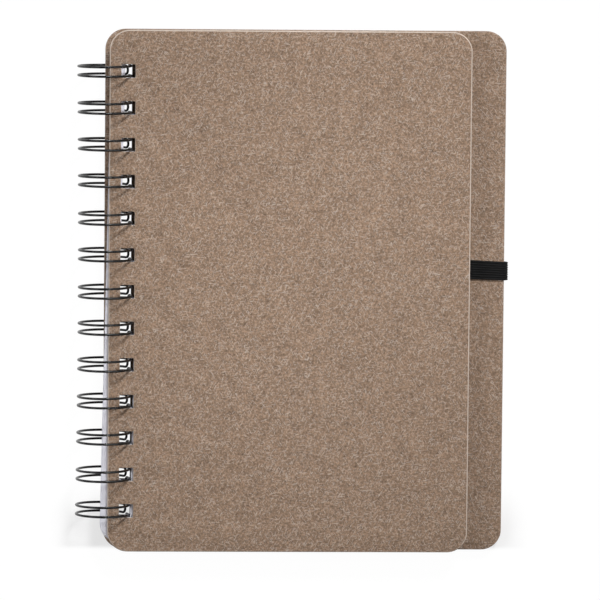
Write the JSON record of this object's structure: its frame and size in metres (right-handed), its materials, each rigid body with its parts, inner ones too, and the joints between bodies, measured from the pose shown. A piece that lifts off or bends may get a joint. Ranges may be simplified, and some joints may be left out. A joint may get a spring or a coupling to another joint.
{
  "type": "spiral notebook",
  "caption": "Wire-bound notebook: two rounded fibreboard covers and a block of sheets on a black double-loop wire, with an elastic pen loop on the wider back cover.",
  "frame": {"origin": "on the table, under the middle of the object's box", "axes": "+X from the wire to the fore edge, +Y to the head of the page, +Z out of the front cover"},
  "size_m": [0.15, 0.1808, 0.019],
  "materials": {
    "fibreboard": "matte, speckled with pale fibres",
    "paper": "uncoated",
    "coated_wire": "gloss black coating",
    "elastic": "ribbed woven elastic"
  },
  "bodies": {
    "bound_block": {"page_block": "paper", "wire_binding": "coated_wire"},
    "front_board": {"front_cover": "fibreboard"},
    "back_board": {"back_cover": "fibreboard", "pen_loop": "elastic"}
  },
  "joints": [
    {"name": "front_cover_hinge", "type": "hinge", "parent": "bound_block", "child": "front_board", "pos_m": [-0.06496, 0, 0.01222], "axis": [0, -1, 0], "range_deg": [0, 180]},
    {"name": "back_cover_hinge", "type": "hinge", "parent": "bound_block", "child": "back_board", "pos_m": [-0.06606, 0, 0.00747], "axis": [0, 1, 0], "range_deg": [0, 180]}
  ]
}
